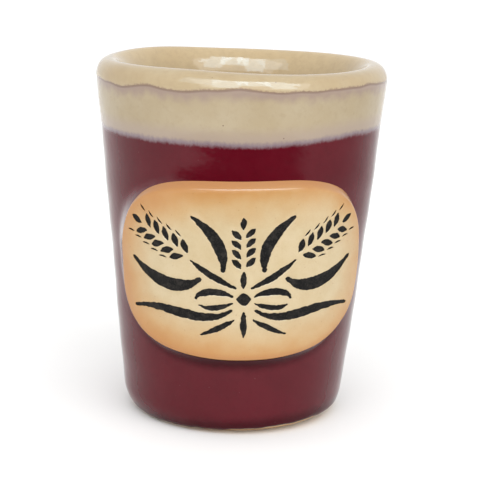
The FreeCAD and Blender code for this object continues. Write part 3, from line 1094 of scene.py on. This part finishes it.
def plaque_clay():
    """Cream in the middle, toasted towards the rim, most of all at the top left, and less at the
    bottom, where the lighter colour is painted light on the downward-facing edge.
    """
    p = Paint("plaque_clay")
    rim, across, up = p.field("rim_mm"), p.field("across_mm"), p.field("up_mm")
    drift = p.span(p.noise(0.16, 3, 0.55), 0.25, 0.75, -0.9, 0.9)
    less_right = p.span(across, -22, 20, -1.3, 1.0)
    # Less toast towards the bottom: painted light that lifts the lower edge, which faces down and
    # gets less light.
    painted_light_below = p.span(up, -14, 0, 0.5, 0)
    inward = p.add(p.add(rim, drift), p.add(less_right, painted_light_below))
    cloud = p.span(p.noise(0.3, 4, 0.6), 0.35, 0.7)
    middle = p.mix(cloud, tone(238, 216, 174), tone(232, 208, 164))
    golden = p.mix(p.span(inward, 1.6, 9.0), tone(228, 182, 122), middle)
    colour = p.mix(p.span(inward, -0.4, 4.6), tone(219, 156, 90), golden)
    grain = p.noise(4.5, 4, 0.65)
    colour = p.mix(p.span(grain, 0.45, 0.8, 0, 0.16), colour, tone(196, 146, 94))
    colour = p.speckled(colour, 0.8, 0.04, 0.085, 0.35, tone(150, 98, 58))
    colour = p.mix(p.span(rim, 0.3, 1.7, 0.6, 0), colour, tone(206, 140, 84))
    stained = p.span(p.field("dip_mm"), 0.03, 0.12, 0, 0.92)
    colour = p.mix(stained, colour, tone(52, 45, 42))
    relief = p.add(p.noise(0.7, 3), p.times(grain, 0.22))
    return p.finish(
        Base_Color=colour,
        Roughness=p.uneven(1.5, 0.11, 0.2),
        Specular_IOR_Level=0.5,
        Normal=p.bump(relief, 0.09, 0.4),
    )


def black_stain():
    """Brushed stain: nearly black, with drier, dustier patches along the strokes."""
    p = Paint("black_stain")
    dry = p.noise(0.8, 4, 0.65)
    fine = p.noise(4.5, 4, 0.7)
    colour = p.mix(p.span(dry, 0.45, 0.66), tone(12, 10, 10), tone(50, 46, 42))
    colour = p.mix(p.span(fine, 0.48, 0.75, 0, 0.55), colour, tone(88, 82, 74))
    edge = p.span(p.field("inside"), 0.0, 0.6, 0.35, 0)
    colour = p.mix(edge, colour, tone(60, 50, 44))
    return p.finish(
        Base_Color=colour,
        Roughness=p.span(dry, 0.3, 0.7, 0.42, 0.7),
        Specular_IOR_Level=0.16,
        Normal=p.bump(fine, 0.035, 0.7),
    )


# ---- build


make_clay_body(bare_clay())
make_slip(fired_slip())
make_plaque(plaque_clay())
ink = black_stain()
for stain_node in PATTERN:
    make_stain(stain_node, ink)
make_wine(wine_glaze())
make_band(band_cream())
make_liner(cream_glaze())

# ---- studio

FLOOR_REACH = 6.0  # metres
PANE_DISTANCE = 2.5  # metres
PANE_AIM_LEVEL = 50  # millimetres
SKY_TINT = (0.55, 0.82, 1.0)

# The panes of a window: azimuth, elevation, width and height in degrees, and radiance
WINDOW_PANES = {
    "window_left": (-12.5, 40, 19, 42, 4.1),
    "window_middle": (2.5, 51, 9, 27, 4.6),
    "window_upper": (18.5, 52, 17, 27, 4.6),
    "window_right": (37, 44, 18, 38, 4.0),
    "window_end": (54, 46, 6, 10, 4.5),
    "window_far_left": (-38, 44, 26, 32, 1.9),
}

# Corners of the cards, in millimetres
FRONT_CARD = (
    (-122, -76, 1), (134, -82, 1), (124, -156, 1), (44, -200, 1), (-10, -180, 1), (-72, -146, 1),
)
SIDE_CARD = ((20, -300, 2), (420, -300, 2), (420, 300, 2), (20, 300, 2))


def make_floor():
    bpy.ops.mesh.primitive_plane_add(size=2 * FLOOR_REACH, location=(0, 0, 0))
    floor = bpy.context.object
    floor.name = "studio_floor"
    p = Paint("pale_floor")
    colour = p.mix(p.noise(0.02, 2), (0.90, 0.90, 0.89, 1), (0.93, 0.93, 0.925, 1))
    floor.data.materials.append(p.finish(Base_Color=colour, Roughness=0.7, Specular_IOR_Level=0.2))


def pane(name, azimuth, elevation, width, height, radiance, tint=(1.0, 1.0, 1.0), lights=False):
    """A soft pane of light, placed and sized by the angles, in degrees, that the cup sees.

    A pane that lights nothing only shows in the gloss.
    """
    turn, lift = math.radians(azimuth), math.radians(elevation)
    flat = math.cos(lift)
    toward = Vector((math.sin(turn) * flat, -math.cos(turn) * flat, math.sin(lift)))
    light = bpy.data.lights.new(name, "AREA")
    light.shape = "RECTANGLE"
    light.size = 2 * PANE_DISTANCE * math.tan(math.radians(width / 2))
    light.size_y = 2 * PANE_DISTANCE * math.tan(math.radians(height / 2))
    light.energy = radiance * math.pi * light.size * light.size_y
    light.color = tint
    lamp = new_object(name, light)
    lamp.location = Vector((0, 0, PANE_AIM_LEVEL * MM)) + toward * PANE_DISTANCE
    lamp.rotation_mode = "QUATERNION"
    lamp.rotation_quaternion = (-toward).to_track_quat("-Z", "Y")
    lamp.visible_camera = False
    lamp.visible_diffuse = lights


def card(name, corners, shade, cover, soft):
    """Card that only the glossy glaze reflects: it keeps part of the bright studio out of it.

    Its cover, from 0 to 1, says how much it hides of what is behind it; the cover fades to
    nothing over the soft share of the card, from its edge inwards.
    """
    outer = np.array(corners, float)
    middle = outer.mean(0)
    inner = middle + (outer - middle) * (1 - soft)
    count = len(outer)
    faces = [tuple(range(count))]
    for step in range(count):
        following = (step + 1) % count
        faces.append((step, following, count + following, count + step))
    covers = [cover] * count + [0.0] * count
    mesh = new_mesh(name + "_mesh", np.concatenate([inner, outer]), faces, cover=covers)
    p = Paint(name)
    grey = (shade, shade, shade, 1)
    mesh.materials.append(p.finish(Base_Color=grey, Specular_IOR_Level=0, Alpha=p.field("cover")))
    sheet = new_object(name, mesh)
    sheet.visible_camera = False
    sheet.visible_diffuse = False
    sheet.visible_shadow = False


def make_world():
    """Plain white all round."""
    world = bpy.data.worlds.new("studio")
    world.use_nodes = True
    background = world.node_tree.nodes["Background"]
    background.inputs["Color"].default_value = (1, 1, 1, 1)
    background.inputs["Strength"].default_value = 1
    bpy.context.scene.world = world


def make_camera():
    """A long lens a little above the cup, with the slight roll of a hand-held shot."""
    elevation = math.radians(12.70)
    distance = 0.2699
    aim = Vector((0, 0, 0.0301))
    data = bpy.data.cameras.new("camera")
    data.sensor_width = 36.0
    data.lens = 113.75
    data.shift_x, data.shift_y = 0.006208, -0.000875
    data.clip_start, data.clip_end = 0.01, 50.0
    camera = new_object("camera", data)
    back = Vector((0, -math.cos(elevation), math.sin(elevation)))
    camera.location = aim + back * distance
    tilt = Matrix.Rotation(math.pi / 2 - elevation, 4, "X")
    roll = Matrix.Rotation(math.radians(1.71), 4, "Z")
    camera.rotation_mode = "QUATERNION"
    camera.rotation_quaternion = (tilt @ roll).to_quaternion()
    bpy.context.scene.camera = camera


make_floor()
make_world()
make_camera()
pane("key", 10, 42, 80, 46, 1.9, lights=True)
for window_pane, numbers in WINDOW_PANES.items():
    pane(window_pane, *numbers, SKY_TINT)
card("front_card", FRONT_CARD, shade=0.01, cover=1.0, soft=0.2)
card("side_card", SIDE_CARD, shade=0.3, cover=0.6, soft=0.85)

bpy.context.scene.view_settings.view_transform = "Standard"
